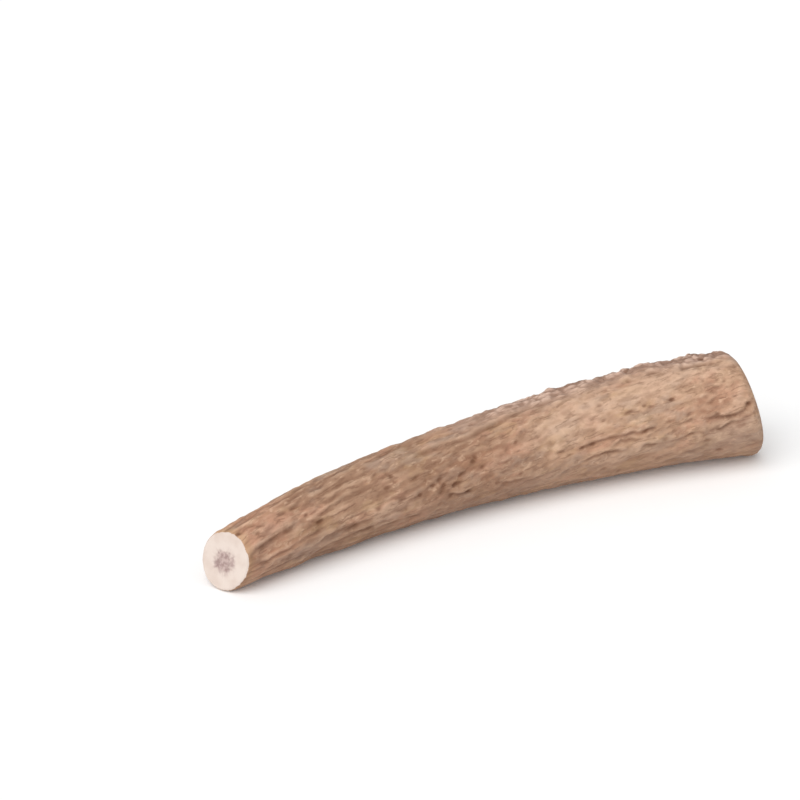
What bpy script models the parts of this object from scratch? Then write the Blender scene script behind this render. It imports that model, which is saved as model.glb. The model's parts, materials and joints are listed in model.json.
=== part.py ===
"""A sawn length of deer antler, lying on its side.

The antler is one natural piece, so it is one object: a round beam that bends gently, grows thicker towards
one end, and is sawn off at both. The centreline lies level in plan and bulges towards +Y. +X runs from the
thin sawn end to the thick one, +Z is up, and the origin is under the middle of the whole piece.
"""

import math

import bmesh
import bpy
import numpy as np
from mathutils import Vector

MM = 0.001

# Driving dimensions of the beam, in metres and degrees.
BEAM_LENGTH = 209 * MM  # along the bent centreline
BEND = 29.2  # angle that the centreline turns through between the two saw cuts
GIRTH_RADII = [9.2 * MM, 12.5 * MM, 15.0 * MM, 17.5 * MM, 18.9 * MM]  # evenly spaced, thin end to thick

# Each saw cut leans: how far its face comes forward per metre towards the front (-Y) side, and per metre up.
THIN_CUT_LEAN = (0.18, 0.24)
THICK_CUT_LEAN = (-0.08, -0.29)
LEAN_FADES_OVER = 0.2  # share of the length, from each end, in which the sections lean with the cut
THIN_RIM_ROUND = 1.0 * MM  # the worn edge round each sawn face
THICK_RIM_ROUND = 4.5 * MM

# Lobes of the section: how many, their height as a share of the radius, where the first points, and how far
# it turns along the beam. Angles go round from the front (-Y) side, with 90 degrees at the top.
LOBES = [
    (2, 0.016, 62, 25),
    (3, 0.010, 20, -40),
    (5, 0.004, 75, 60),
]
# Long shallow channels where blood vessels ran: angle at the thin end and at the thick end, width, depth,
# and the shares of the length between which the channel runs.
CHANNELS = [
    (38, 30, 3.6 * MM, 0.7 * MM, -0.05, 0.34),
    (20, 8, 4.5 * MM, 0.6 * MM, 0.52, 1.02),
    (82, 95, 4.2 * MM, 0.6 * MM, 0.30, 0.72),
    (152, 140, 4.6 * MM, 0.8 * MM, 0.12, 0.95),
    (215, 228, 4.4 * MM, 0.7 * MM, 0.05, 0.80),
    (262, 250, 4.2 * MM, 0.5 * MM, 0.35, 0.90),
]
CHANNEL_FADES_OVER = 0.1  # share of the length over which a channel runs out
# Uneven growth of the bark: size of a lump, and the height from the hollows to the tops.
LUMP_SIZE, LUMP_HEIGHT = 11 * MM, 0.6 * MM
# The rough flank, where the bark grew in beads, is at the top and towards the back of the thicker half.
BEAD_SIZE, BEAD_HEIGHT = 4.5 * MM, 1.9 * MM
FLANK_ANGLE, FLANK_SPREAD = 122, 34
FLANK_STARTS, FLANK_FULL = 0.36, 0.62  # shares of the length

AROUND = 72  # sides of each section
STATIONS = 52  # sections from one cut to the other
FIRST_GAP = 6 * MM  # between a cut and the section behind it: room for the worn edge

BARK_COLOUR = (0.45, 0.29, 0.19, 1)  # linear


def clear_scene():
    """Remove every object that the scene starts with."""
    for obj in list(bpy.data.objects):
        bpy.data.objects.remove(obj)


def smooth_step(low, high, value):
    """0 below low, 1 above high, and a smooth rise between them."""
    share = min(1.0, max(0.0, (value - low) / (high - low)))
    return share * share * (3 - 2 * share)


def station_shares():
    """Where the sections stand, as shares of the length: one on each cut, then evenly between."""
    first = FIRST_GAP / BEAM_LENGTH
    return [0.0, *np.linspace(first, 1 - first, STATIONS - 2), 1.0]


def centreline(share):
    """Point, forward and front directions of the bent centreline, which is an arc, without its height."""
    turn = math.radians(BEND)
    heading = turn * (0.5 - share)
    radius = BEAM_LENGTH / turn
    point = Vector((-radius * math.sin(heading), radius * math.cos(heading), 0))
    forward = Vector((math.cos(heading), math.sin(heading), 0))
    front = Vector((math.sin(heading), -math.cos(heading), 0))
    return point, forward, front


GIRTH = np.polynomial.Polynomial.fit(np.linspace(0, 1, len(GIRTH_RADII)), GIRTH_RADII, len(GIRTH_RADII) - 1)


def angle_gap(angle, other):
    """Difference of two angles in degrees, from -180 to 180."""
    return (angle - other + 180) % 360 - 180


def channel_depth(share, angle, radius):
    """How deep the channels cut at this place."""
    depth = 0.0
    for from_angle, to_angle, width, deepest, starts, ends in CHANNELS:
        across = math.radians(angle_gap(angle, from_angle + (to_angle - from_angle) * share)) * radius
        runs = smooth_step(starts, starts + CHANNEL_FADES_OVER, share)
        runs *= 1 - smooth_step(ends - CHANNEL_FADES_OVER, ends, share)
        depth += deepest * runs * math.exp(-((2 * across / width) ** 2))
    return depth


def bark_radius(share, angle):
    """Distance from the centreline to the bark at an angle in degrees."""
    radius = float(GIRTH(share))
    lobed = 1.0
    for count, height, points, turns in LOBES:
        lobed += height * math.cos(count * math.radians(angle - points - turns * share))
    return radius * lobed - channel_depth(share, angle, radius)


def flank_share(share, angle):
    """How much this place belongs to the rough flank, from 0 to 1."""
    across = math.exp(-((angle_gap(angle, FLANK_ANGLE) / FLANK_SPREAD) ** 2))
    return across * smooth_step(FLANK_STARTS, FLANK_FULL, share)


def cut_lean(share, to_front, up):
    """How far forward a point of the section leans, so that the end sections lie in the saw cuts."""
    near_thin = 1 - smooth_step(0, LEAN_FADES_OVER, share)
    near_thick = smooth_step(1 - LEAN_FADES_OVER, 1, share)
    thin = THIN_CUT_LEAN[0] * to_front + THIN_CUT_LEAN[1] * up
    thick = THICK_CUT_LEAN[0] * to_front + THICK_CUT_LEAN[1] * up
    return near_thin * thin + near_thick * thick


def bark_point(share, angle):
    """The place of a point of the bark. The underside of every section touches the ground."""
    point, forward, front = centreline(share)
    radius = bark_radius(share, angle)
    to_front = radius * math.cos(math.radians(angle))
    up = radius * math.sin(math.radians(angle))
    height = Vector((0, 0, float(GIRTH(share)) + up))
    return point + front * to_front + height + forward * cut_lean(share, to_front, up)


def add_group(obj, name, weights):
    """A vertex group that holds these vertices, each with its weight."""
    group = obj.vertex_groups.new(name=name)
    for index, weight in weights.items():
        group.add([index], weight, "REPLACE")


def beam_mesh():
    """A cylinder cut into sections that follow the bent beam, and each section's points with their angles."""
    bm = bmesh.new()
    bmesh.ops.create_cone(bm, cap_ends=True, segments=AROUND, radius1=1, radius2=1, depth=1)
    sides = [e for e in bm.edges if abs(e.verts[0].co.z - e.verts[1].co.z) > 0.5]
    bmesh.ops.subdivide_edges(bm, edges=sides, cuts=STATIONS - 2)
    shares = station_shares()
    sections = [{} for _ in shares]
    bm.verts.index_update()
    for vert in bm.verts:
        section = round((vert.co.z + 0.5) * (STATIONS - 1))
        angle = math.degrees(math.atan2(vert.co.y, vert.co.x))
        sections[section][vert.index] = angle
        vert.co = bark_point(shares[section], angle)
    bmesh.ops.recalc_face_normals(bm, faces=bm.faces)
    mesh = bpy.data.meshes.new("antler")
    bm.to_mesh(mesh)
    bm.free()
    return mesh, sections


def add_lumps(obj, group, size, height):
    """Uneven growth of the bark, over the points of one group."""
    texture = bpy.data.textures.new(group, "CLOUDS")
    texture.noise_scale = size
    texture.noise_depth = 1
    lumps = obj.modifiers.new(group, "DISPLACE")
    lumps.texture = texture
    lumps.texture_coords = "LOCAL"
    lumps.strength = height
    lumps.mid_level = 0.5
    lumps.vertex_group = group


def round_rim(obj, group, radius):
    """The worn edge round a sawn face."""
    rounded = obj.modifiers.new(group, "BEVEL")
    rounded.limit_method = "VGROUP"
    rounded.vertex_group = group
    rounded.width = radius
    rounded.segments = 4


def bark_material():
    """Dull, dry antler bark."""
    material = bpy.data.materials.new("antler_bark")
    material.use_nodes = True
    shader = material.node_tree.nodes["Principled BSDF"]
    shader.inputs["Base Color"].default_value = BARK_COLOUR
    shader.inputs["Roughness"].default_value = 0.7
    shader.inputs["Metallic"].default_value = 0.0
    return material


def stand_on_origin(obj):
    """Move the object so that the middle of its underside is at the origin."""
    bpy.context.view_layer.update()
    evaluated = obj.evaluated_get(bpy.context.evaluated_depsgraph_get())
    corners = np.array([vert.co for vert in evaluated.data.vertices])
    low, high = corners.min(axis=0), corners.max(axis=0)
    obj.location = (-(low[0] + high[0]) / 2, -(low[1] + high[1]) / 2, -low[2])


def build_antler():
    """The whole sawn length of antler."""
    collection = bpy.data.collections.new("deer_antler")
    bpy.context.scene.collection.children.link(collection)
    mesh, sections = beam_mesh()
    antler = bpy.data.objects.new("antler", mesh)
    collection.objects.link(antler)
    mesh.materials.append(bark_material())
    add_group(antler, "thin_rim", dict.fromkeys(sections[0], 1.0))
    add_group(antler, "thick_rim", dict.fromkeys(sections[-1], 1.0))
    bark, flank = {}, {}
    for share, section in zip(station_shares()[1:-1], sections[1:-1]):
        for index, angle in section.items():
            bark[index] = 1.0
            flank[index] = flank_share(share, angle)
    add_group(antler, "bark", bark)
    add_group(antler, "flank", flank)
    add_lumps(antler, "bark", LUMP_SIZE, LUMP_HEIGHT)
    add_lumps(antler, "flank", BEAD_SIZE, BEAD_HEIGHT)
    round_rim(antler, "thin_rim", THIN_RIM_ROUND)
    round_rim(antler, "thick_rim", THICK_RIM_ROUND)
    mesh.shade_smooth()
    mesh.set_sharp_from_angle(angle=math.radians(50))
    stand_on_origin(antler)


clear_scene()
build_antler()
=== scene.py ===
"""A sawn length of deer antler, lying on a white studio table.

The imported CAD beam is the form. A finely divided surface is laid over it, and furrows, vessel grooves, pits
and beads are raised on that. Places on the beam are given along it, in metres or as a share of its length
from the thin cut, and round it as an angle in degrees from the front (-Y) side, with 90 at the top.
"""

import json
import logging
import math
import random
from dataclasses import dataclass
from enum import Enum

import bmesh
import bpy
import numpy as np
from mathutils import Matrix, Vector, noise
from mathutils.bvhtree import BVHTree


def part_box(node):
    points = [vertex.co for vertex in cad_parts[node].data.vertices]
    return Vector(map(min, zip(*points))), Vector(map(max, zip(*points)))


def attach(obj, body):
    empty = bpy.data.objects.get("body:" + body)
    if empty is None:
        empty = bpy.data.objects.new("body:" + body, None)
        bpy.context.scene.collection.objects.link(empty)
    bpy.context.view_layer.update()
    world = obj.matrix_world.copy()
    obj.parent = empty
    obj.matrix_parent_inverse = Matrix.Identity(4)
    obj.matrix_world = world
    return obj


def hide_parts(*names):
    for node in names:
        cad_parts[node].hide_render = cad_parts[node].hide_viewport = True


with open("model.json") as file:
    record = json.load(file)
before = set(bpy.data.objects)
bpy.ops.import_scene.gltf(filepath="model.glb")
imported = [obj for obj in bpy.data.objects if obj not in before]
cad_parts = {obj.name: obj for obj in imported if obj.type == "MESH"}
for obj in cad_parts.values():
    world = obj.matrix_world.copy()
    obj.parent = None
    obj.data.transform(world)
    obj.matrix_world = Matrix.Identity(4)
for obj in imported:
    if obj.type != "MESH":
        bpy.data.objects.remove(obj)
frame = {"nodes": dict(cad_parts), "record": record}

LOG = logging.getLogger("antler")
MM = 0.001
Colour = tuple[float, float, float, float]
Socket = bpy.types.NodeSocket


class Zone(Enum):
    """Named attributes that the surface carries for its finish."""

    GRAIN = "grain"  # place on the beam as if it were straight and its grain did not turn
    HOLLOW = "hollow"  # 1 at the bottom of furrows, grooves and the gaps between beads
    CREST = "crest"  # 1 at the bottom of furrows, grooves and the gaps between beads, where shade is painted
    FLANK = "flank"  # 1 on the tops between them, where a highlight is painted
    SAWN = "sawn"  # depth of bone taken off: 0 on bark, 1 on the sawn faces
    REACH = "reach"  # on a sawn face, 0 in the middle and 1 at the edge
    PIT = "pit"  # 1 in the dark pits
    TINT = "tint"  # x is 1 where the bark is rosy, y where it is grey and z where it is creamy
    STAIN = "stain"  # 1 on darker, browner patches; the one at share 0.405 is partly a painted shadow
    UNDER = "under"  # 1 on the lower side, where shade is painted


# ---------------- form


def smooth_step(low: float, high: float, value: np.ndarray) -> np.ndarray:
    """Rise smoothly from 0 to 1 between two values.

    Args:
        low: Where the rise starts.
        high: Where it ends.
        value: The values to look up.

    Returns:
        The height of the rise at each value.
    """
    share = np.clip((value - low) / (high - low), 0.0, 1.0)
    return share * share * (3 - 2 * share)


def angle_gap(angle: np.ndarray, other: np.ndarray | float) -> np.ndarray:
    """Difference of angles in degrees, from -180 to 180."""
    return (angle - other + 180) % 360 - 180


@dataclass(frozen=True)
class SawCut:
    """One sawn face.

    Attributes:
        point: The middle of the face, in the row frame.
        outward: Its outward normal.
    """

    point: np.ndarray
    outward: np.ndarray

    @classmethod
    def of_mount(cls, name: str) -> "SawCut":
        """Read a sawn face from the record.

        Args:
            name: Name of the mount that is the face.

        Returns:
            The face.
        """
        mount = next(m for m in frame["record"]["mounts"] if m["name"] == name)
        outward = np.array(mount["axis"], dtype=float)
        return cls(np.array(mount["pos_m"], dtype=float), outward / np.linalg.norm(outward))


class BeamForm:
    """The form of the CAD beam: its centreline, its saw cuts and how far out the bark is."""

    LEAN_FADES_OVER = 0.2  # share of the length, from each end, in which sections lean with the cut
    PROBES = 60  # sections whose middles are measured
    KEPT_OFF = (0.06, 0.08)  # shares of the length, thin end and thick, where no middle is measured
    CURVE_POWER = 4  # of the curves fitted to the middles
    TRACK_POINTS = 2001

    def __init__(self, node: bpy.types.Object, thin: SawCut, thick: SawCut) -> None:
        """Measure a CAD node.

        Args:
            node: The CAD node, whose mesh is only read.
            thin: The sawn face at the thin end.
            thick: The sawn face at the thick end.
        """
        self.thin = thin
        self.thick = thick
        bm = bmesh.new()
        bm.from_mesh(node.data)
        bmesh.ops.remove_doubles(bm, verts=bm.verts, dist=0.001 * MM)
        self.skin = BVHTree.FromBMesh(bm)
        bm.free()
        self._fit_centreline(*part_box(node.name))

    def _middle(self, point: Vector, direction: Vector) -> Vector:
        """Find the middle of the solid along a line.

        Args:
            point: A point of the line, inside the solid.
            direction: The way that the line runs.

        Returns:
            The point half way between the skin on both sides.
        """
        ahead = self.skin.ray_cast(point, direction)[0]
        behind = self.skin.ray_cast(point, -direction)[0]
        return (ahead + behind) / 2

    def _fit_centreline(self, low: tuple, high: tuple) -> None:
        """Fit smooth curves y(x) and z(x) through the middles of the sections and of both cuts.

        Args:
            low: Lowest corner of the node's box.
            high: Its highest corner.
        """
        first = self.thin.point[0] + self.KEPT_OFF[0] * (high[0] - low[0])
        last = self.thick.point[0] - self.KEPT_OFF[1] * (high[0] - low[0])
        middles = []
        for x in np.linspace(first, last, self.PROBES):
            point = Vector((x, 0.0, (low[2] + high[2]) / 4))
            for direction in (Vector((0, 0, 1)), Vector((0, 1, 0))) * 2:
                point = self._middle(point, direction)
            middles.append(point)
        middles = np.array([self.thin.point, *middles, self.thick.point])
        weights = np.ones(len(middles))
        weights[[0, -1]] = self.PROBES
        xs = np.linspace(self.thin.point[0], self.thick.point[0], self.TRACK_POINTS)
        track = [xs]
        for axis in (1, 2):
            power = self.CURVE_POWER
            curve = np.polynomial.Polynomial.fit(middles[:, 0], middles[:, axis], power, w=weights)
            track.append(curve(xs))
        self.track = np.stack(track, axis=1)
        steps = np.linalg.norm(np.diff(self.track, axis=0), axis=1)
        self.along = np.concatenate([[0.0], np.cumsum(steps)])
        self.length = float(self.along[-1])

    def _on_track(self, values: np.ndarray, along: np.ndarray) -> np.ndarray:
        """Look values of the track up at distances along it."""
        return np.stack([np.interp(along, self.along, values[:, axis]) for axis in range(3)], axis=1)

    def sections(self, along: np.ndarray, angles: np.ndarray) -> tuple[np.ndarray, np.ndarray]:
        """Lay out the sections. Each one leans so that the end ones are parallel to the saw cuts.

        Args:
            along: Distance of each section from the thin cut.
            angles: Directions round a section, in radians.

        Returns:
            The middles, one per section, and the outward directions, one per section and angle. A direction
            has length 1 when it is seen along the beam.
        """
        middles = self._on_track(self.track, along)
        forward = self._on_track(np.gradient(self.track, self.along, axis=0), along)
        forward /= np.linalg.norm(forward, axis=1, keepdims=True)
        front = np.cross(forward, [0.0, 0.0, 1.0])
        front /= np.linalg.norm(front, axis=1, keepdims=True)
        up = np.cross(front, forward)
        share = along / self.length
        near_thin = (1 - smooth_step(0, self.LEAN_FADES_OVER, share))[:, None]
        near_thick = smooth_step(1 - self.LEAN_FADES_OVER, 1, share)[:, None]
        normal = near_thick * self.thick.outward - near_thin * self.thin.outward
        normal = normal + (1 - near_thin - near_thick) * forward
        radial = np.einsum("a,sk->sak", np.cos(angles), front) + np.einsum("a,sk->sak", np.sin(angles), up)
        lean = np.einsum("sk,sak->sa", normal, radial) / np.einsum("sk,sk->s", normal, forward)[:, None]
        return middles, radial - lean[:, :, None] * forward[:, None]

    def radii(self, middles: np.ndarray, directions: np.ndarray) -> np.ndarray:
        """Measure how far out the skin is.

        Args:
            middles: The middle of each section.
            directions: Outward directions, one per section and angle.

        Returns:
            The distance to the skin, one per section and angle, as a share of the direction's length.
        """
        radii = np.empty(directions.shape[:2])
        for section, (middle, rays) in enumerate(zip(middles.tolist(), directions.tolist())):
            for place, ray in enumerate(rays):
                distance = self.skin.ray_cast(middle, ray)[3]
                radii[section, place] = distance / math.sqrt(ray[0] ** 2 + ray[1] ** 2 + ray[2] ** 2)
        return radii


# ---------------- relief


def noise_at(points: np.ndarray) -> np.ndarray:
    """Look smooth noise up.

    Args:
        points: Array whose last axis holds x, y and z.

    Returns:
        The noise at each point, about -1 to 1.
    """
    flat = points.reshape(-1, 3).tolist()
    values = np.fromiter((noise.noise(point) for point in flat), dtype=float, count=len(flat))
    return values.reshape(points.shape[:-1])


def nearest_cell(points: np.ndarray) -> tuple[np.ndarray, np.ndarray]:
    """Scatter seeds, about one to a unit cube, and find each point's nearest.

    Args:
        points: Array whose last axis holds x, y and z.

    Returns:
        The distance to the nearest seed, and a number from 0 to 1 that is that seed's own.
    """
    distance, own = [], []
    for point in points.reshape(-1, 3).tolist():
        distances, seeds = noise.voronoi(point)
        distance.append(distances[0])
        own.append(noise.cell(seeds[0] * 91.7) * 0.5 + 0.5)
    shape = points.shape[:-1]
    return np.array(distance).reshape(shape), np.array(own).reshape(shape)


class Grain:
    """How the fibres of the beam run."""

    TURN = 8.0  # radians per metre: they climb round the beam towards the thick end
    RISE = 0.12  # the same as a slope on the skin of a beam of middling thickness


@dataclass(frozen=True)
class Groove:
    """A line sunk in the bark, as a blood vessel leaves it, with a lip raised along its upper side.

    Attributes:
        path: Places that it runs through, from the thin end on: each a share of the length and an angle.
        width: Its width in millimetres.
        depth: Its depth in millimetres.
        broken: How far its depth is lost where it is interrupted, from 0 to 1.
    """

    FADE = 0.012  # share of the length over which each end fades out

    path: tuple[tuple[float, float], ...]
    width: float
    depth: float
    broken: float = 0.7

    def profiles(self, places: "Places") -> tuple[np.ndarray, np.ndarray]:
        """Shape the groove.

        Args:
            places: Where the points of the surface are.

        Returns:
            How deep in the groove each place is and how high on its lip, both from 0 to 1.
        """
        shares, angles = zip(*self.path)
        angle = np.interp(places.share, shares, angles)
        width = self.width * MM
        across = np.radians(angle_gap(places.angle, angle)) * places.radius + 0.6 * places.wobble
        present = smooth_step(shares[0] - self.FADE, shares[0] + self.FADE, places.share)
        present = present * (1 - smooth_step(shares[-1] - self.FADE, shares[-1] + self.FADE, places.share))
        present = present * (1 - self.broken * smooth_step(0.20, -0.25, places.breaks))
        groove = np.exp(-((across / (0.5 * width)) ** 2))
        lip = np.exp(-(((across - 0.85 * width) / (0.45 * width)) ** 2))
        return present * groove, present * lip


@dataclass(frozen=True)
class Mark:
    """One place on the bark that is sunk, raised or of another colour.

    Attributes:
        share: Share of the length where it is.
        angle: Its angle.
        length: Its size along the grain, in millimetres.
        width: Its size across the grain, in millimetres.
        height: How far it stands out of the bark, in millimetres; below 0 where it is sunk.
    """

    share: float
    angle: float
    length: float
    width: float
    height: float = 0.0

    def profile(self, places: "Places") -> np.ndarray:
        """Shape the mark.

        Args:
            places: Where the points of the surface are.

        Returns:
            How far inside the mark each place is, from 0 to 1.
        """
        length, width = self.length * MM, self.width * MM
        along = places.along - self.share * places.length + 0.3 * places.wobble
        across = np.radians(angle_gap(places.angle, self.angle)) * places.radius - Grain.RISE * along
        across = across + 0.4 * places.wobble
        away = (along / (0.5 * length)) ** 2 + (across / (0.5 * width)) ** 2
        return np.exp(-away * np.clip(1 + 1.1 * places.ragged, 0.45, 2.0))


@dataclass
class Places:
    """Where the points of the fine surface are on the beam.

    Attributes:
        along: Distance from the thin cut, in metres.
        length: Length of the beam, in metres.
        angle: Angle round it, in degrees.
        radius: Distance from the centreline, in metres.
    """

    along: np.ndarray
    length: float
    angle: np.ndarray
    radius: np.ndarray

    def __post_init__(self) -> None:
        """Work out the straightened grain coordinates, and the wobble that no line on bark is free of."""
        self.share = self.along / self.length
        turned = np.radians(self.angle) - Grain.TURN * self.along
        straight = (self.along, self.radius * np.cos(turned), self.radius * np.sin(turned))
        self.grain = np.stack(straight, axis=-1)
        self.wobble = 0.8 * MM * noise_at(self.scaled(7 * MM, 5 * MM))
        self.wobble = self.wobble + 0.6 * MM * noise_at(self.scaled(2.6 * MM, 3 * MM))
        self.breaks = noise_at(self.scaled(4.5 * MM, 30 * MM, 9.0))
        self.ragged = noise_at(self.scaled(1.9 * MM, 1.3 * MM, 50.0))

    def scaled(self, length: float, width: float, shift: float = 0.0) -> np.ndarray:
        """Grain coordinates for a pattern of that length along the grain and width across it."""
        return self.grain / np.array([length, width, width]) + shift


class BarkRelief:
    """Everything that stands out of the smooth form of the beam, or is sunk in it."""

    FLANK_ANGLE, FLANK_SPREAD = 118.0, 36.0
    FLANK_STARTS, FLANK_FULL = 0.36, 0.60
    # Furrows, coarse and fine: length and width of their pattern, depth, and a shift that keeps them apart.
    FURROWS = (
        (6.5 * MM, 2.0 * MM, 0.20 * MM, 11.0),
        (3.4 * MM, 1.4 * MM, 0.14 * MM, 23.0),
    )
    FIBRES = (12.0 * MM, 1.3 * MM, 0.22 * MM, 36.0)  # the same for the long fibres, near the thin end
    FIBRES_END = (0.22, 0.50)  # shares of the length between which the fibres give way to furrows
    # Beads, large and small: length and width of one, its height, and a shift that keeps them apart.
    BEADS = ((7.0 * MM, 4.2 * MM, 0.80 * MM, 40.0), (3.2 * MM, 2.2 * MM, 0.50 * MM, 60.0))
    # The grooves of the side that shows, from the thin end on, and then those of the back and underside.
    GROOVES = (
        Groove(((0.000, 20), (0.012, 23), (0.025, 26), (0.037, 28), (0.052, 31), (0.075, 34), (0.10, 36)),
               2.0, 0.75, 0.25),
        Groove(((0.046, 43), (0.056, 40), (0.066, 37)), 1.3, 0.45),
        Groove(((0.0, 3), (0.030, -2), (0.06, -8), (0.09, -12)), 1.7, 0.35),
        Groove(((0.02, 78), (0.07, 70), (0.13, 66)), 1.4, 0.40),
        Groove(((0.132, 33), (0.141, 29), (0.160, 26)), 1.6, 0.45),
        Groove(((0.18, -15), (0.222, -17), (0.282, -23), (0.345, -25), (0.38, -27)), 1.4, 0.35),
        Groove(((0.398, -5), (0.410, -8), (0.422, -8), (0.434, -5)), 1.3, 0.60, 0.1),
        Groove(((0.485, -9), (0.511, -12), (0.54, -10)), 1.3, 0.30),
        Groove(((0.480, 20), (0.500, 18), (0.518, 19)), 1.1, 0.25),
        Groove(((0.600, 11), (0.640, 10), (0.667, 11), (0.700, 14), (0.718, 12), (0.740, 13), (0.760, 12),
                (0.778, 14), (0.800, 17), (0.835, 18)), 1.3, 0.45),
        Groove(((0.650, -8), (0.668, -5), (0.690, -4), (0.712, -4), (0.730, -6)), 1.5, 0.52, 0.5),
        Groove(((0.700, 3), (0.716, 5), (0.742, 6), (0.765, 4), (0.780, 6)), 1.2, 0.38),
        Groove(((0.762, -5), (0.800, -6), (0.840, -4), (0.856, -1), (0.872, 0), (0.882, -2)),
               1.4, 0.50, 0.5),
        Groove(((0.785, 7), (0.800, 9), (0.822, 11), (0.842, 14), (0.872, 17), (0.892, 16)), 1.2, 0.36),
        Groove(((0.904, 0), (0.917, -1), (0.929, 2), (0.948, 4), (0.966, 6)), 1.4, 0.58, 0.4),
        Groove(((0.885, 12), (0.906, 13), (0.940, 12), (0.956, 14), (0.968, 17), (0.980, 23), (0.990, 27)),
               1.5, 0.70, 0.3),
        Groove(((0.812, 52), (0.821, 50), (0.861, 47), (0.890, 48)), 1.1, 0.30),
        Groove(((0.858, 35), (0.890, 37), (0.905, 39)), 1.1, 0.30),
        Groove(((0.896, 29), (0.903, 31), (0.920, 35)), 1.2, 0.32),
        Groove(((0.912, 46), (0.940, 47)), 1.3, 0.32),
        Groove(((0.750, 78), (0.760, 80), (0.775, 79)), 2.0, 0.70),
        Groove(((0.805, 80), (0.812, 83), (0.826, 83), (0.835, 85)), 2.0, 0.75),
        Groove(((0.855, 84), (0.868, 80), (0.885, 82), (0.900, 79), (0.925, 79), (0.950, 81)), 1.7, 0.65),
        Groove(((0.360, 70), (0.408, 64), (0.458, 65), (0.487, 70), (0.519, 74), (0.550, 78), (0.585, 84),
                (0.640, 83)), 2.0, 0.70, 0.3),
        Groove(((0.10, 150), (0.28, 162), (0.52, 168)), 1.8, 0.60),
        Groove(((0.45, 176), (0.70, 182), (0.93, 196)), 2.0, 0.70),
        Groove(((0.05, 222), (0.30, 240), (0.45, 246)), 1.6, 0.50),
        Groove(((0.55, 238), (0.75, 246), (0.97, 262)), 1.9, 0.60),
        Groove(((0.20, 288), (0.40, 292), (0.62, 300)), 1.5, 0.35),
    )
    # Small creases on the sides that few grooves cross: how many, and the angles between which they lie.
    CREASES, CREASE_ANGLES = 46, (135.0, 318.0)
    SMALL_PITS = (8.5 * MM, 4.6 * MM, 0.35 * MM, 70.0)  # scattered ones, in the terms of the furrows
    GROWTH = (16 * MM, 6 * MM, 0.16 * MM, 2.0)  # uneven growth, in the same terms
    # Each row below is one mark: share of the length, angle, length, width, and height where it has one.
    PITS = tuple(Mark(*row) for row in (
        (0.006, 73, 2.6, 1.9, -0.40), (0.032, 56, 3.0, 1.6, -0.35), (0.128, 46, 2.4, 1.5, -0.35),
        (0.148, 27, 5.4, 1.9, -0.42), (0.210, -2, 5.0, 1.2, -0.30), (0.256, 11, 2.8, 1.9, -0.28),
        (0.283, 36, 3.2, 1.6, -0.40), (0.296, 51, 1.9, 2.2, -0.40), (0.302, 14, 4.6, 2.6, -0.30),
        (0.334, 35, 4.2, 1.5, -0.18), (0.337, 11, 2.0, 1.5, -0.38), (0.364, 18, 2.6, 1.7, -0.40),
        (0.376, 23, 3.0, 1.9, -0.45), (0.381, 12, 2.4, 2.5, -0.52), (0.395, -5, 2.8, 2.3, -0.45),
        (0.404, 9, 4.2, 2.6, -0.75), (0.418, 21, 4.6, 1.6, -0.40), (0.428, -7, 3.4, 1.5, -0.40),
        (0.443, 32, 2.6, 2.2, -0.50), (0.450, 36, 2.4, 2.0, -0.45), (0.458, 21, 3.0, 1.4, -0.38),
        (0.482, -6, 2.6, 2.4, -0.30), (0.527, -2, 2.4, 1.5, -0.30), (0.529, 40, 2.2, 1.2, -0.32),
        (0.648, 10, 3.4, 1.5, -0.25), (0.668, 11, 2.6, 1.5, -0.35), (0.694, 36, 3.2, 1.4, -0.28),
        (0.690, -27, 4.2, 2.4, -0.20), (0.724, -41, 3.2, 2.8, -0.25), (0.743, 39, 5.6, 1.5, -0.42),
        (0.765, 12, 3.4, 1.6, -0.38), (0.774, 42, 2.8, 1.5, -0.36), (0.792, -28, 4.0, 2.4, -0.20),
        (0.829, 43, 2.8, 1.3, -0.60), (0.885, -12, 3.4, 1.5, -0.15), (0.912, -30, 3.4, 2.2, -0.35),
        (0.914, 17, 3.0, 1.4, -0.36), (0.928, 92, 3.0, 2.4, -0.90), (0.948, 52, 3.0, 1.4, -0.30),
        (0.980, 24, 2.6, 1.7, -0.60),
    ))
    # The flank's outline: the lumps that stand proud of it, and the deep gaps across it.
    LUMPS = tuple(Mark(*row) for row in (
        (0.815, 108, 10, 9, 0.9), (0.785, 106, 2.4, 8, -1.3), (0.728, 106, 2.4, 7, -0.8),
        (0.690, 108, 8, 8, 0.5), (0.660, 102, 2.8, 7, -0.7),
    ))
    # Patches of bark that is rosier, greyer, darker and browner, and creamier; the darker patch at share
    # 0.405 is partly a painted shadow.
    ROSE = tuple(Mark(*row) for row in (
        (0.055, 56, 30, 10), (0.915, 30, 30, 12), (0.690, 12, 34, 6), (0.480, 26, 24, 9),
        (0.900, 14, 26, 4), (0.650, 10, 10, 3), (0.914, -29, 8, 5), (0.300, 200, 50, 14),
        (0.800, 230, 40, 16),
    ))
    GREY = tuple(Mark(*row) for row in (
        (0.930, -12, 34, 20), (0.780, -8, 30, 6), (0.955, -1, 14, 5), (0.550, -22, 40, 9),
        (0.110, -12, 34, 6), (0.790, 34, 30, 3), (0.600, 205, 44, 16), (0.200, 255, 40, 12),
    ))
    DARKER_PATCHES = tuple(Mark(*row) for row in (
        (0.405, 26, 44, 13), (0.480, 8, 24, 7), (0.045, 32, 20, 2.4), (0.040, 19, 28, 4.6),
        (0.900, 27, 26, 8.0), (0.510, -15, 26, 8.0), (0.765, 12, 22, 2.2), (0.655, 11, 10, 2.2),
        (0.950, 13, 22, 4.0), (0.975, 20, 7, 4.0), (0.400, 190, 60, 12),
    ))
    CREAM = tuple(Mark(*row) for row in (
        (0.966, 29, 9, 6), (0.780, 60, 70, 10), (0.640, 46, 40, 14), (0.930, 70, 24, 7), (0.290, 4, 20, 7),
        (0.700, -16, 16, 7), (0.753, -1, 7, 4), (0.870, 160, 40, 12),
    ))

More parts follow.
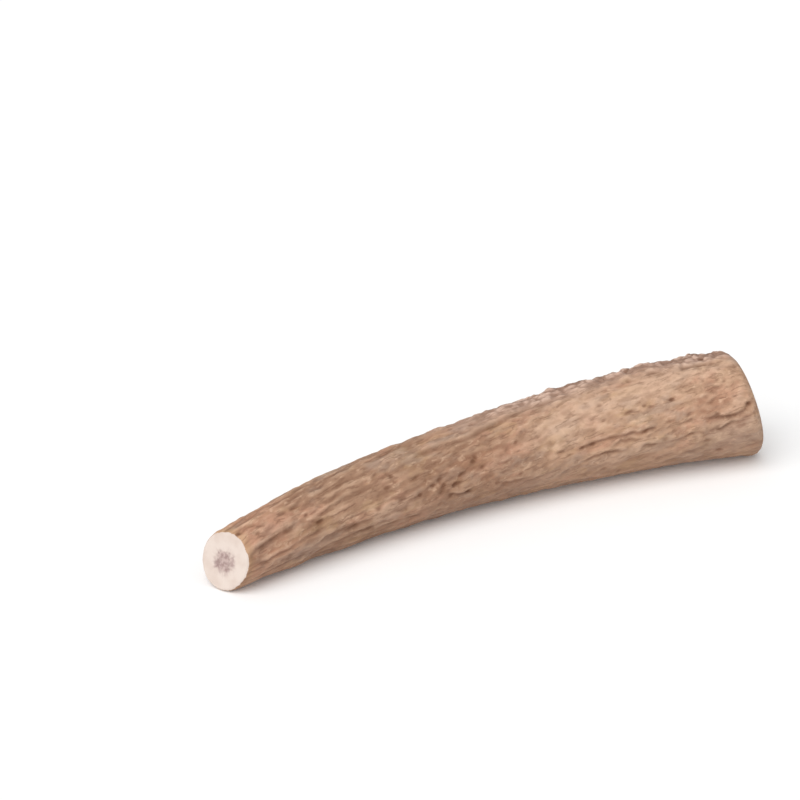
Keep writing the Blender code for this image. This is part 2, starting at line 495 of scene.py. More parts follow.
    def __init__(self, places: Places) -> None:
        """Raise the relief.

        Args:
            places: Where the points of the surface are.
        """
        self.places = places
        self.flank = self._flank_share()
        # Besides the height, masks of painted shade in hollows and of a painted highlight on tops.
        self.height, self.hollow, self.crest, self.pit = np.zeros((4, *places.share.shape))
        self._raise_furrows()
        self._raise_beads()
        for groove in (*self.GROOVES, *self._creases()):
            self._sink_groove(groove)
        self._sink_pits()
        tints = [self._patches(marks) for marks in (self.ROSE, self.GREY, self.CREAM)]
        self.tint = np.stack(tints, axis=-1)
        self.stain = self._patches(self.DARKER_PATCHES)

    def _flank_share(self) -> np.ndarray:
        """Find the beaded flank, whose edge is ragged.

        Returns:
            How much each place belongs to it, from 0 to 1.
        """
        places = self.places
        edge = 14 * noise_at(places.scaled(24 * MM, 12 * MM, 5.0))
        across = np.exp(-((angle_gap(places.angle, self.FLANK_ANGLE) + edge) / self.FLANK_SPREAD) ** 4)
        return across * smooth_step(self.FLANK_STARTS, self.FLANK_FULL, places.share + 0.001 * edge)

    def _raise_furrows(self) -> None:
        """Uneven growth, the short broken furrows over it, and the long fibres near the thin end."""
        places = self.places
        warp = np.zeros_like(places.grain)
        warp[..., 1] = 0.6 * places.wobble
        warp[..., 2] = -0.6 * places.wobble
        bent = places.grain + warp
        length, width, depth, shift = self.GROWTH
        self.height += depth * noise_at(places.scaled(length, width, shift))
        fibrous = 1 - smooth_step(*self.FIBRES_END, places.share)
        calm = 1 - 0.35 * fibrous
        strengths = (calm, calm, 1.4 * fibrous)
        for (length, width, depth, shift), strength in zip((*self.FURROWS, self.FIBRES), strengths):
            field = noise_at(bent / np.array([length, width, width]) + shift)
            self.height += depth * strength * np.clip(field / 0.5, -1, 1)
            share = 0.45 * strength * depth / self.FURROWS[0][2]  # how strongly their painted shade and painted highlight show
            # Painted shade in the furrows' hollows and a painted highlight on their tops.
            self.hollow = np.maximum(self.hollow, share * smooth_step(0.08, 0.50, -field))
            self.crest = np.maximum(self.crest, share * smooth_step(0.05, 0.45, field))

    def _raise_beads(self) -> None:
        """Beads and the gaps between them on the flank, in two sizes, and the lumps of its outline."""
        places = self.places
        on_flank = self.flank > 0.01
        share = self.flank[on_flank]
        uneven = places.wobble[on_flank][:, None] / (3 * MM)
        for length, width, rise, shift in self.BEADS:
            distance, own = nearest_cell(places.scaled(length, width, shift)[on_flank] + uneven)
            bead = np.clip(1 - (distance / 0.60) ** 2, -0.8, 1) * (0.25 + 0.95 * own)
            self.height[on_flank] += share * rise * (bead - 0.25)
            # Painted shade in the gaps between beads and a painted highlight on their tops.
            gap = share * smooth_step(0.42, 0.70, distance)
            top = share * smooth_step(0.4, 0.1, distance) * own
            self.hollow[on_flank] = np.maximum(self.hollow[on_flank], gap)
            self.crest[on_flank] = np.maximum(self.crest[on_flank], top)
        for lump in self.LUMPS:
            profile = lump.profile(places)
            self.height += lump.height * MM * profile
            # Painted shade in the deep gaps of the outline.
            if lump.height < 0:
                self.hollow = np.maximum(self.hollow, profile)

    def _creases(self) -> list[Groove]:
        """Scatter small creases over the sides that the named grooves leave bare.

        Returns:
            The creases, the same ones each time.
        """
        draw = random.Random(5)
        creases = []
        for _ in range(self.CREASES):
            share, angle = draw.uniform(0.03, 0.93), draw.uniform(*self.CREASE_ANGLES)
            path = [(share, angle)]
            for _ in range(draw.randint(2, 4)):
                share, angle = share + draw.uniform(0.015, 0.035), angle + draw.uniform(-3.0, 6.0)
                path.append((share, angle))
            creases.append(Groove(tuple(path), draw.uniform(1.2, 1.8), draw.uniform(0.25, 0.50)))
        return creases

    def _sink_groove(self, groove: Groove) -> None:
        """Sink one groove and raise its lip.

        Args:
            groove: The groove.
        """
        sunk, lip = groove.profiles(self.places)
        self.height += groove.depth * MM * (0.45 * lip - sunk)
        # Painted shade in the groove and a painted highlight on its lip.
        self.hollow = np.maximum(self.hollow, sunk * min(1.0, 0.55 + groove.depth))
        self.crest = np.maximum(self.crest, 0.9 * lip)

    def _sink_pits(self) -> None:
        """The dark pits that catch the eye, and the scattered small ones."""
        places = self.places
        for pit in self.PITS:
            profile = pit.profile(places)
            self.height += pit.height * MM * profile
            self.pit = np.maximum(self.pit, min(1.0, 0.40 - pit.height) * profile)
        length, width, depth, shift = self.SMALL_PITS
        distance, own = nearest_cell(places.scaled(length, width, shift))
        deep = smooth_step(0.80, 0.95, own) * np.exp(-((distance / (0.12 + 0.10 * own)) ** 2))
        self.height -= depth * deep
        self.pit = np.maximum(self.pit, 0.6 * deep)

    def _patches(self, marks: tuple[Mark, ...]) -> np.ndarray:
        """Lay patches of one tint, with ragged edges.

        Args:
            marks: Where they are.

        Returns:
            How strongly the tint shows at each place, from 0 to 1.
        """
        ragged = 0.35 * noise_at(self.places.scaled(6 * MM, 3 * MM, 80.0))
        shown = np.max([mark.profile(self.places) for mark in marks], axis=0)
        return smooth_step(0.15, 0.85, shown + ragged * np.minimum(1.0, 3 * shown))


# ---------------- surface


@dataclass(frozen=True)
class Spots:
    """Which place on the beam each point of the mesh stands for.

    Attributes:
        ring: Its ring along the beam.
        place: Its place round the ring.
        share: Its share of the way out from the middle of a sawn face: 1 on the sides.
    """

    SIDES = 0.999  # share from which on a point is on the sides

    ring: np.ndarray
    place: np.ndarray
    share: np.ndarray

    def on_face(self) -> np.ndarray:
        """Which points are inside the rim of a sawn face."""
        return self.share < self.SIDES

    def pick(self, values: np.ndarray) -> np.ndarray:
        """Each point's own value, out of an array with one for each ring and place."""
        return values[self.ring, self.place]


class AntlerSurface:
    """The fine surface of the antler: bark, worn edges and sawn faces, in one closed mesh."""

    AROUND = 232
    THIN_RINGS, MIDDLE_RINGS, THICK_RINGS = 8, 365, 12
    CUTS = (15, 23)  # the two passes that divide the sides: (15 + 1) * (23 + 1) steps
    THIN_ROUND, THICK_ROUND = 1.8 * MM, 6.0 * MM  # how far from each cut the edge starts to round over
    FACE_RINGS = 9
    SKIN_GAP = 0.03 * MM  # the last ring of the sides stands this far behind the cut
    # How far behind the thin cut and the thick cut the relief is worn, and the bone is bare.
    WORN, BARE = (3.0 * MM, 5.0 * MM), (1.2 * MM, 0.8 * MM)
    MOST_WORN = 0.9
    SMOOTH_REACH, SMOOTH_SPREAD = 6, 2.4  # steps over which the flats of the CAD solid are evened out
    SHARP = 40.0  # degrees between faces from which on an edge is shaded sharp

    def __init__(self, form: BeamForm) -> None:
        """Lay out the rings.

        Args:
            form: The form that the surface is laid over.
        """
        self.form = form
        self.along = self._stations()
        self.angles = 2 * math.pi / self.AROUND * np.arange(self.AROUND)

    def _stations(self) -> np.ndarray:
        """Place the rings, close together where the edges round over.

        Returns:
            Their distances from the thin cut.
        """
        thin = self._rounding(self.THIN_ROUND, self.THIN_RINGS)[::-1]
        thick = self.form.length - self._rounding(self.THICK_ROUND, self.THICK_RINGS)
        middle = np.linspace(thin[-1], thick[0], self.MIDDLE_RINGS + 2)[1:-1]
        return np.concatenate([thin, middle, thick])

    def _rounding(self, radius: float, rings: int) -> np.ndarray:
        """Depths behind a cut, from the start of the rounding to the cut, at even steps of its turn."""
        turn = np.linspace(0, math.pi / 2, rings)
        return np.maximum(radius * (1 - np.sin(turn)), self.SKIN_GAP)

    def build(self) -> bpy.types.Object:
        """Model the surface.

        Returns:
            The finished mesh object, with the attributes that its finish reads.
        """
        piece = self._divided_cylinder()
        spots = self._spots(piece)
        middles, directions = self.form.sections(self.along, self.angles)
        radii = self._smoothed(self.form.radii(middles, directions))
        places = Places(
            along=np.broadcast_to(self.along[:, None], radii.shape),
            length=self.form.length,
            angle=np.broadcast_to(np.degrees(self.angles)[None, :], radii.shape),
            radius=radii,
        )
        relief = BarkRelief(places)
        height = relief.height * (1 - self._worn(places, *self.WORN))
        bark = middles[:, None] + directions * (radii + height)[:, :, None]
        self._place_points(piece, bark, middles, spots)
        self._write_attributes(piece, places, relief, spots)
        self._finish(piece)
        return piece

    def _divided_cylinder(self) -> bpy.types.Object:
        """Model a cylinder of radius 1 and length 1, with its sides and ends divided into rings.

        Returns:
            The cylinder.
        """
        bpy.ops.object.select_all(action="DESELECT")
        bpy.ops.mesh.primitive_cylinder_add(vertices=self.AROUND, radius=1.0, depth=1.0)
        piece = bpy.context.object
        piece.name = "antler_surface"
        piece.data.name = "antler_surface"
        bpy.ops.object.mode_set(mode="EDIT")
        for cuts in self.CUTS:
            bpy.ops.mesh.select_mode(type="EDGE")
            bpy.ops.mesh.select_all(action="DESELECT")
            bm = bmesh.from_edit_mesh(piece.data)
            for edge in bm.edges:
                first, second = (vert.co for vert in edge.verts)
                if abs(first.z - second.z) > 1e-6:
                    edge.select = True
            bmesh.update_edit_mesh(piece.data)
            bpy.ops.mesh.subdivide(number_cuts=cuts, quadcorner="INNERVERT")
        bpy.ops.mesh.select_mode(type="FACE")
        bpy.ops.mesh.select_all(action="DESELECT")
        bm = bmesh.from_edit_mesh(piece.data)
        for face in bm.faces:
            face.select = len(face.verts) == self.AROUND
        bmesh.update_edit_mesh(piece.data)
        for _ in range(self.FACE_RINGS):
            bpy.ops.mesh.inset(thickness=1.0 / (self.FACE_RINGS + 1), use_even_offset=False)
        bpy.ops.mesh.poke()
        bpy.ops.object.mode_set(mode="OBJECT")
        return piece

    def _spots(self, piece: bpy.types.Object) -> Spots:
        """Sort the points of the divided cylinder.

        Args:
            piece: The cylinder.

        Returns:
            Where each of its points goes.
        """
        points = np.empty(len(piece.data.vertices) * 3)
        piece.data.vertices.foreach_get("co", points)
        points = points.reshape(-1, 3)
        ring = np.rint((points[:, 2] + 0.5) * (len(self.along) - 1)).astype(int)
        place = np.rint(np.arctan2(points[:, 1], points[:, 0]) / (2 * math.pi) * self.AROUND).astype(int)
        return Spots(ring, place % self.AROUND, np.minimum(np.hypot(points[:, 0], points[:, 1]), 1.0))

    def _smoothed(self, radii: np.ndarray) -> np.ndarray:
        """Take the flats of the CAD solid's sides out, and leave its rounded edges alone.

        Args:
            radii: Distance to its skin, one per section and angle.

        Returns:
            The evened distances.
        """
        reach = self.SMOOTH_REACH
        shifts = np.arange(-reach, reach + 1)
        weights = np.exp(-((shifts / self.SMOOTH_SPREAD) ** 2))
        weights /= weights.sum()
        smooth = sum(w * np.roll(radii, shift, axis=1) for w, shift in zip(weights, shifts))
        padded = np.pad(smooth, ((reach, reach), (0, 0)), mode="edge")
        level = sum(w * padded[reach + shift :][: len(smooth)] for w, shift in zip(weights, shifts))
        behind_thin = smooth_step(self.THIN_ROUND, 3 * self.THIN_ROUND, self.along)
        behind_thick = smooth_step(self.THICK_ROUND, 2 * self.THICK_ROUND, self.form.length - self.along)
        inside = (behind_thin * behind_thick)[:, None]
        return inside * level + (1 - inside) * smooth

    def _worn(self, places: Places, thin: float, thick: float) -> np.ndarray:
        """How worn each place is.

        Args:
            places: Where the points of the surface are.
            thin: How far behind the thin cut the wear ends, in metres.
            thick: How far behind the thick cut it ends.

        Returns:
            1 where all is worn away, and 0 where nothing is.
        """
        near_thin = 1 - smooth_step(0.0, thin, places.along)
        near_thick = 1 - smooth_step(0.0, thick, self.form.length - places.along)
        return self.MOST_WORN * np.maximum(near_thin, near_thick)

    def _place_points(self, piece: bpy.types.Object, bark: np.ndarray, middles: np.ndarray,
                      spots: Spots) -> None:
        """Move the cylinder's points onto the beam, and none of them below the ground.

        Args:
            piece: The cylinder.
            bark: A point of the bark for each ring and place.
            middles: The middle of each ring.
            spots: Which of those each of its points stands for.
        """
        inner = middles[spots.ring]
        points = inner + (spots.pick(bark) - inner) * spots.share[:, None]
        for end, cut in ((0, self.form.thin), (len(self.along) - 1, self.form.thick)):
            on_face = (spots.ring == end) & spots.on_face()
            behind = (points[on_face] - cut.point) @ cut.outward
            points[on_face] -= behind[:, None] * cut.outward
        points[:, 2] = np.maximum(points[:, 2], 0.0)
        piece.data.vertices.foreach_set("co", points.ravel())
        piece.data.update()

    def _write_attributes(self, piece: bpy.types.Object, places: Places, relief: BarkRelief,
                          spots: Spots) -> None:
        """Store on every point what its finish needs to know.

        Args:
            piece: The mesh object.
            places: Where the points of the surface are.
            relief: The relief there.
            spots: Which place each point of the mesh stands for.
        """
        on_face = spots.on_face().astype(float)
        grain = spots.pick(places.grain)
        grain[:, 1:] *= spots.share[:, None]
        bare = spots.pick(self._worn(places, *self.BARE))
        values = {
            Zone.GRAIN: grain,
            # Masks of painted shade in the hollows and of a painted highlight on the tops.
            Zone.HOLLOW: spots.pick(relief.hollow) * (1 - on_face),
            Zone.CREST: spots.pick(relief.crest) * (1 - on_face),
            Zone.FLANK: spots.pick(relief.flank) * (1 - on_face),
            Zone.PIT: spots.pick(relief.pit) * (1 - on_face),
            Zone.TINT: spots.pick(relief.tint),
            Zone.STAIN: spots.pick(relief.stain),
            # Painted shade on the lower side.
            Zone.UNDER: spots.pick(smooth_step(0.35, -0.65, np.sin(np.radians(places.angle)))),
            Zone.SAWN: np.maximum(bare, on_face),
            Zone.REACH: spots.share,
        }
        for zone, numbers in values.items():
            kind, field = ("FLOAT_VECTOR", "vector") if numbers.ndim == 2 else ("FLOAT", "value")
            layer = piece.data.attributes.new(zone.value, kind, "POINT")
            layer.data.foreach_set(field, numbers.astype(np.float32).ravel())

    def _finish(self, piece: bpy.types.Object) -> None:
        """Turn the faces outwards and shade the mesh.

        Args:
            piece: The mesh object.
        """
        bpy.ops.object.select_all(action="DESELECT")
        piece.select_set(True)
        bpy.context.view_layer.objects.active = piece
        bpy.ops.object.mode_set(mode="EDIT")
        bpy.ops.mesh.select_all(action="SELECT")
        bpy.ops.mesh.normals_make_consistent(inside=False)
        bpy.ops.object.mode_set(mode="OBJECT")
        bpy.ops.object.shade_smooth_by_angle(angle=math.radians(self.SHARP))


# ---------------- finish


class Graph:
    """A few words for laying out a material's nodes."""

    def __init__(self, material: bpy.types.Material) -> None:
        """Start on a material's own node tree, with the grain coordinates and the distance along the beam.

        Args:
            material: The material.
        """
        self.nodes = material.node_tree.nodes
        self.links = material.node_tree.links
        self.grain = self.zone(Zone.GRAIN)
        self.along = self.node("SeparateXYZ", {0: self.grain}).outputs[0]

    def node(self, kind: str, inputs: dict | None = None, **settings: object) -> bpy.types.Node:
        """Add a node.

        Args:
            kind: Its type, without the ShaderNode prefix.
            inputs: Values or sockets for its inputs, by name or number.
            **settings: Its properties.

        Returns:
            The node.
        """
        made = self.nodes.new("ShaderNode" + kind)
        for name, value in settings.items():
            setattr(made, name, value)
        for name, value in (inputs or {}).items():
            if isinstance(value, Socket):
                self.links.new(value, made.inputs[name])
            else:
                made.inputs[name].default_value = value
        return made

    def zone(self, zone: Zone) -> Socket:
        """Read one of the surface's attributes."""
        made = self.node("Attribute", attribute_name=zone.value)
        return made.outputs["Vector" if zone in (Zone.GRAIN, Zone.TINT) else "Fac"]

    def math(self, operation: str, *values: object) -> Socket:
        """Combine numbers."""
        return self.node("Math", dict(enumerate(values)), operation=operation).outputs[0]

    def vector(self, operation: str, inputs: dict) -> Socket:
        """Combine vectors."""
        return self.node("VectorMath", inputs, operation=operation).outputs[0]

    def span(self, value: Socket, low: float, high: float, to_low: float = 0.0,
             to_high: float = 1.0) -> Socket:
        """Map a number from one span to another, smoothly and without going past the ends."""
        inputs = {"Value": value, "From Min": low, "From Max": high, "To Min": to_low, "To Max": to_high}
        return self.node("MapRange", inputs, interpolation_type="SMOOTHSTEP").outputs["Result"]

    def stretched(self, length: float, width: float, shift: float = 0.0,
                  start: Socket | None = None) -> Socket:
        """Scale coordinates for a pattern that is longer along the grain than across it.

        Args:
            length: Size of the pattern along the grain.
            width: Its size across the grain.
            shift: What keeps it apart from other patterns.
            start: The coordinates to scale, or None for the grain's own.

        Returns:
            The scaled coordinates.
        """
        scale = (1 / length, 1 / width, 1 / width)
        inputs = {"Vector": start or self.grain, "Location": (shift,) * 3, "Scale": scale}
        return self.node("Mapping", inputs).outputs[0]

    def noise(self, vector: Socket, **settings: float) -> bpy.types.Node:
        """A smooth noise texture on coordinates that are already stretched."""
        inputs = {"Vector": vector, "Scale": 1.0, "Detail": 2.0, "Roughness": 0.5}
        return self.node("TexNoise", inputs | settings)

    def pattern(self, length: float, width: float, shift: float, **settings: float) -> Socket:
        """Smooth noise from 0 to 1, of that length along the grain and width across it."""
        return self.noise(self.stretched(length, width, shift), **settings).outputs["Fac"]

    def blend(self, share: object, first: object, second: object) -> Socket:
        """Mix two colours."""
        return self.node("Mix", {0: share, 6: first, 7: second}, data_type="RGBA").outputs[2]

    def lay(self, colour: object, tint: object, shown: object, most: float) -> Socket:
        """Lay a tint over a colour, as strongly as it shows there times the most that it may."""
        return self.blend(self.math("MULTIPLY", shown, most), colour, tint)


def linear(red: int, green: int, blue: int) -> Colour:
    """Turn the colour that a screen shows into the linear values that nodes take.

    Args:
        red: Its red, from 0 to 255.
        green: Its green.
        blue: Its blue.

    Returns:
        The colour, opaque.
    """
    shares = [channel / 255 for channel in (red, green, blue)]
    made = [s / 12.92 if s <= 0.04045 else ((s + 0.055) / 1.055) ** 2.4 for s in shares]
    return (made[0], made[1], made[2], 1.0)


@dataclass(frozen=True)
class BarkFinish:
    """Dry antler bark: tan and peach, greyer on the beaded flank, with painted shade in its hollows and on
    its lower side and a painted highlight on its tops.
    """

    LINE_WAVE = 1.6 * MM  # how far a fine line strays

    tan: Colour = linear(192, 154, 126)
    peach: Colour = linear(222, 186, 157)
    brown: Colour = linear(163, 126, 101)
    umber: Colour = linear(128, 95, 74)
    salmon: Colour = linear(208, 154, 126)
    rose: Colour = linear(198, 148, 122)
    ochre: Colour = linear(188, 152, 112)
    grey: Colour = linear(168, 144, 128)
    mauve: Colour = linear(215, 185, 170)
    pale: Colour = linear(236, 209, 194)
    cream: Colour = linear(216, 181, 156)
    stain: Colour = linear(138, 94, 66)
    hollow: Colour = linear(118, 81, 59)
    pit: Colour = linear(108, 68, 44)

    def colour(self, graph: Graph) -> Socket:
        """Lay out the bark's colour.

        Args:
            graph: Where its nodes go.

        Returns:
            The colour.
        """
        # Browner towards the thin end: partly the bark's own colour, partly a painted shadow of pieces that
        # are not in the scene.
        broad = graph.pattern(40 * MM, 12 * MM, 0.0)
        reach = graph.math("MULTIPLY_ADD", broad, 60 * MM, graph.along)
        colour = graph.blend(graph.span(reach, 124 * MM, 168 * MM), self.brown, self.tan)
        colour = graph.blend(graph.span(graph.along, 34 * MM, 4 * MM, 0.0, 0.5), colour, self.salmon)
        for tint, size, shift, most in ((self.rose, 10 * MM, 3.0, 0.55), (self.ochre, 8 * MM, 12.0, 0.45),
                                        (self.grey, 11 * MM, 8.0, 0.6)):
            patch = graph.pattern(1.7 * size, 0.7 * size, shift, Detail=3.0, Roughness=0.6)
            colour = graph.blend(graph.span(patch, 0.50, 0.66, 0.0, most), colour, tint)
        patches = graph.node("SeparateXYZ", {0: graph.zone(Zone.TINT)}).outputs
        for shown, tint in zip(patches, (self.rose, self.grey, self.cream)):
            colour = graph.lay(colour, tint, shown, 0.5)
        # Darker, browner patches; the one at share 0.405 is partly a painted shadow.
        colour = graph.lay(colour, self.stain, graph.zone(Zone.STAIN), 0.4)
        mottle = graph.pattern(4.0 * MM, 2.2 * MM, 5.0, Detail=3.0, Roughness=0.6, Distortion=0.4)
        colour = graph.blend(graph.span(mottle, 0.52, 0.74, 0.0, 0.5), colour, self.umber)
        colour = graph.blend(graph.span(mottle, 0.47, 0.28, 0.0, 0.55), colour, self.peach)
        colour = graph.lay(colour, self.mauve, graph.zone(Zone.FLANK), 0.75)
        # Painted highlight on the tops of the furrows, groove lips and beads.
        colour = graph.lay(colour, self.peach, graph.zone(Zone.CREST), 0.5)
        colour = graph.blend(graph.span(graph.along, 4 * MM, 0.5 * MM, 0.0, 0.45), colour, self.ochre)
        # A pale painted highlight on the bead tops of the flank.
        raised = graph.math("MULTIPLY", graph.zone(Zone.CREST), graph.zone(Zone.FLANK))
        colour = graph.lay(colour, self.pale, raised, 0.6)
        # Painted shade in the fine lines and in the hollows.
        colour = graph.lay(colour, self.hollow, self.lines(graph), 0.42)
        colour = graph.lay(colour, self.hollow, graph.zone(Zone.HOLLOW), 0.75)
        # Painted shade: darker towards the lower side.
        colour = graph.lay(colour, self.umber, graph.zone(Zone.UNDER), 0.45)
        return graph.blend(graph.span(graph.zone(Zone.PIT), 0.12, 0.85, 0.0, 0.75), colour, self.pit)

    def lines(self, graph: Graph) -> Socket:
        """Lay out fine lines along the grain, wavy and broken into short lengths, which are sunk in the bump
        and darkened with painted shade.

        Args:
            graph: Where their nodes go.

        Returns:
            1 in a line and 0 between them.
        """
        bend = graph.noise(graph.stretched(4 * MM, 3 * MM, 44.0)).outputs["Color"]
        bent = graph.vector("MULTIPLY_ADD", {0: bend, 1: (self.LINE_WAVE,) * 3, 2: graph.grain})
        field = graph.noise(graph.stretched(22 * MM, 1.5 * MM, 31.0, bent), Detail=1.0).outputs["Fac"]
        off = graph.math("ABSOLUTE", graph.math("SUBTRACT", field, 0.5))
        present = graph.pattern(5 * MM, 2.2 * MM, 17.0)
        return graph.math("MULTIPLY", graph.span(off, 0.080, 0.010), graph.span(present, 0.47, 0.62))

    def height(self, graph: Graph) -> Socket:
        """Lay out the relief that is finer than the mesh carries.

        Args:
            graph: Where its nodes go.

        Returns:
            The height, about 0 to 1.
        """
        fibres = graph.pattern(3.5 * MM, 1.0 * MM, 1.0, Detail=3.0, Roughness=0.6, Distortion=0.4)
        specks = graph.pattern(0.9 * MM, 0.6 * MM, 2.0)
        height = graph.math("ADD", fibres, graph.math("MULTIPLY", specks, 0.4))
        return graph.math("SUBTRACT", height, graph.math("MULTIPLY", self.lines(graph), 0.6))


@dataclass(frozen=True)
class SawnFinish:
    """Sawn and lightly sanded bone: a dense cream ring round a spongy, pinkish grey core."""

    cream: Colour = linear(217, 202, 192)
    ivory: Colour = linear(209, 192, 181)
    ring: Colour = linear(196, 176, 167)
    wall: Colour = linear(186, 163, 157)
    pore: Colour = linear(146, 121, 117)

    def colour(self, graph: Graph) -> Socket:
        """Lay out the sawn face's colour, its core a little larger in the thick end.

        Args:
            graph: Where its nodes go.

        Returns:
            The colour.
        """
        spokes = self.spokes(graph)
        clouds = graph.pattern(6 * MM, 6 * MM, 9.0, Detail=3.0)
        colour = graph.blend(graph.span(clouds, 0.4, 0.7), self.cream, self.ivory)
        colour = graph.lay(colour, self.ring, spokes, 0.5)
        ragged = graph.pattern(2.6 * MM, 2.6 * MM, 4.0, Roughness=0.6)
        reach = graph.math("ADD", graph.zone(Zone.REACH), graph.math("MULTIPLY_ADD", ragged, 0.7, -0.35))
        reach = graph.math("MULTIPLY_ADD", spokes, -0.12, reach)
        reach = graph.math("ADD", reach, graph.span(graph.along, 50 * MM, 150 * MM, 0.0, -0.12))
        colour = graph.blend(graph.span(reach, 0.66, 0.32, 0.0, 0.5), colour, self.ring)
        sponge = graph.pattern(1.5 * MM, 1.5 * MM, 14.0, Roughness=0.55)
        cells = {"Vector": graph.stretched(1.2 * MM, 1.2 * MM), "Scale": 1.0}
        holes = graph.node("TexVoronoi", cells)
        inner = graph.blend(graph.span(sponge, 0.64, 0.36), self.wall, self.pore)
        inner = graph.blend(graph.span(holes.outputs["Distance"], 0.55, 0.15, 0.0, 0.5), inner, self.pore)
        return graph.blend(graph.span(reach, 0.53, 0.24, 0.0, 0.9), colour, inner)

    def spokes(self, graph: Graph) -> Socket:
        """Lay out faint rays that run out from the core.

        Args:
            graph: Where their nodes go.

        Returns:
            1 in a ray, and less towards the edge.
        """
        flat = graph.vector("MULTIPLY", {0: graph.grain, 1: (0.0, 1.0, 1.0)})
        way = graph.vector("NORMALIZE", {0: flat})
        rays = graph.noise(graph.vector("SCALE", {0: way, 3: 2.6})).outputs["Fac"]
        fade = graph.span(graph.zone(Zone.REACH), 0.85, 0.35)
        return graph.math("MULTIPLY", graph.span(rays, 0.52, 0.70), fade)

    def height(self, graph: Graph) -> Socket:
        """Faint marks of sawing and sanding."""
        return graph.math("MULTIPLY", graph.pattern(0.8 * MM, 0.8 * MM, 6.0), 0.5)


class AntlerMaterial:
    """One material for the whole antler, because the bark runs into the sawn faces without a seam."""

    ROUGH_BARK, ROUGH_BONE = 0.68, 0.5
    SHINE = 0.35
    RELIEF = 0.16 * MM

    def __init__(self, bark: BarkFinish, sawn: SawnFinish) -> None:
        """Keep the two finishes that the material joins."""
        self.bark = bark
        self.sawn = sawn

    def make(self) -> bpy.types.Material:
        """Lay out the nodes.

        Returns:
            The material.
        """
        material = bpy.data.materials.new("antler")
        material.use_nodes = True
        graph = Graph(material)
        edge = graph.pattern(2.2 * MM, 1.6 * MM, 7.0, Detail=3.0, Roughness=0.6)
        sawn = graph.math("ADD", graph.zone(Zone.SAWN), graph.math("MULTIPLY_ADD", edge, 0.8, -0.4))
        sawn = graph.span(sawn, 0.55, 0.72)
        colour = graph.blend(sawn, self.bark.colour(graph), self.sawn.colour(graph))
        height = graph.node("Mix", {0: sawn, 2: self.bark.height(graph), 3: self.sawn.height(graph)})
        bump = graph.node("Bump", {"Strength": 0.8, "Distance": self.RELIEF, "Height": height.outputs[0]})
        shader = graph.nodes["Principled BSDF"]
        graph.links.new(colour, shader.inputs["Base Color"])
        graph.links.new(bump.outputs["Normal"], shader.inputs["Normal"])
        roughness = graph.span(sawn, 0.0, 1.0, self.ROUGH_BARK, self.ROUGH_BONE)
        graph.links.new(roughness, shader.inputs["Roughness"])
        shader.inputs["Specular IOR Level"].default_value = self.SHINE
        return material


# ---------------- studio


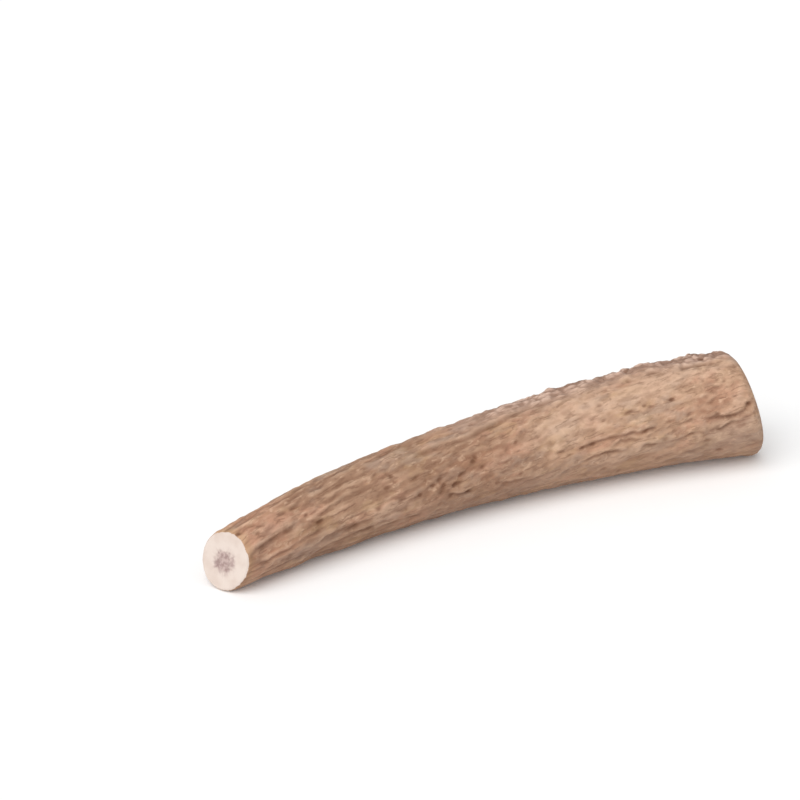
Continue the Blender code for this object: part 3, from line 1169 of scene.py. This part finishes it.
@dataclass(frozen=True)
class Studio:
    """The camera, the white table and the soft light.

    Attributes:
        azimuth: Where the camera stands round the antler, in degrees from the front (-Y) side.
        elevation: How steeply it looks down, in degrees.
        distance: From the camera to the point that it looks at, in metres.
        lens: Focal length in millimetres.
        aim: The point that it looks at, from the middle of the thin sawn face.
        surround: Strength of the even light from all round.
        key: Strength of the key light.
        key_from: Azimuth and elevation that the key light comes from, in degrees.
        key_spread: How wide the key light is, seen from the antler, in degrees.
        glow: How much the table shines of itself, as a light table does, so that its shadow stays pale.
    """

    SENSOR_WIDTH = 36.0  # in millimetres
    NEAREST = 0.01  # how near the camera still sees, in metres
    TABLE_SIZE = 12.0
    WHITE = (1.0, 1.0, 1.0, 1.0)

    azimuth: float = -30.107
    elevation: float = 23.0
    distance: float = 0.7272
    lens: float = 85.0
    aim: tuple[float, float, float] = (122.02 * MM, 101.55 * MM, -8.71 * MM)
    surround: float = 0.46
    key: float = 2.3
    key_from: tuple[float, float] = (-65.0, 48.0)
    key_spread: float = 60.0
    glow: float = 0.06

    def outward(self, azimuth: float, elevation: float) -> Vector:
        """Direction from the antler to something at that azimuth and elevation."""
        turn, rise = math.radians(azimuth), math.radians(elevation)
        return Vector((math.sin(turn) * math.cos(rise), -math.cos(turn) * math.cos(rise), math.sin(rise)))

    def build(self, thin: SawCut) -> None:
        """Set the studio up round the antler.

        Args:
            thin: The thin sawn face, which the camera's aim is measured from.
        """
        self._camera(Vector(thin.point) + Vector(self.aim))
        self._floor()
        self._lights()

    def _camera(self, target: Vector) -> None:
        """Stand the camera where it sees the antler from its front, above the thin end.

        Args:
            target: The point that it looks at.
        """
        data = bpy.data.cameras.new("camera")
        data.lens = self.lens
        data.sensor_width = self.SENSOR_WIDTH
        data.clip_start = self.NEAREST
        camera = bpy.data.objects.new("camera", data)
        bpy.context.scene.collection.objects.link(camera)
        away = self.outward(self.azimuth, self.elevation)
        camera.location = target + away * self.distance
        camera.rotation_euler = (-away).to_track_quat("-Z", "Y").to_euler()
        bpy.context.scene.camera = camera

    def _floor(self) -> None:
        """A wide white table."""
        bpy.ops.object.select_all(action="DESELECT")
        bpy.ops.mesh.primitive_plane_add(size=self.TABLE_SIZE, location=(0, 0, 0))
        floor = bpy.context.object
        floor.name = "table"
        white = bpy.data.materials.new("white_table")
        white.use_nodes = True
        shader = white.node_tree.nodes["Principled BSDF"]
        shader.inputs["Base Color"].default_value = (0.98, 0.98, 0.98, 1)
        shader.inputs["Roughness"].default_value = 0.9
        shader.inputs["Specular IOR Level"].default_value = 0.0
        shader.inputs["Emission Color"].default_value = self.WHITE
        shader.inputs["Emission Strength"].default_value = self.glow
        floor.data.materials.append(white)

    def _lights(self) -> None:
        """An even surround, white where it is seen itself, and one broad soft light from the upper left."""
        scene = bpy.context.scene
        world = bpy.data.worlds.new("surround")
        world.use_nodes = True
        nodes, links = world.node_tree.nodes, world.node_tree.links
        background = nodes["Background"]
        background.inputs["Color"].default_value = self.WHITE
        seen = nodes.new("ShaderNodeLightPath").outputs["Is Camera Ray"]
        strength = nodes.new("ShaderNodeMapRange")
        strength.inputs["To Min"].default_value = self.surround
        links.new(seen, strength.inputs["Value"])
        links.new(strength.outputs["Result"], background.inputs["Strength"])
        scene.world = world
        scene.view_settings.view_transform = "Standard"
        data = bpy.data.lights.new("key", "SUN")
        data.energy = self.key
        data.angle = math.radians(self.key_spread)
        light = bpy.data.objects.new("key", data)
        scene.collection.objects.link(light)
        light.rotation_euler = (-self.outward(*self.key_from)).to_track_quat("-Z", "Y").to_euler()


# ---------------- main


def main() -> None:
    """Build the studio and the antler, and note both sizes."""
    logging.basicConfig(level=logging.INFO, format="%(name)s: %(message)s")
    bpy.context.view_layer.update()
    thin = SawCut.of_mount("thin_sawn_face")
    thick = SawCut.of_mount("thick_sawn_face")
    Studio().build(thin)
    LOG.info("studio built")

    form = BeamForm(frame["nodes"]["antler"], thin, thick)
    LOG.info("beam is %.1f mm long along its bend", form.length / MM)
    surface = AntlerSurface(form).build()
    surface.data.materials.append(AntlerMaterial(BarkFinish(), SawnFinish()).make())
    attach(surface, "root")
    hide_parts("antler")
    LOG.info("antler_surface has %d faces", len(surface.data.polygons))


if __name__ == "__main__":
    main()
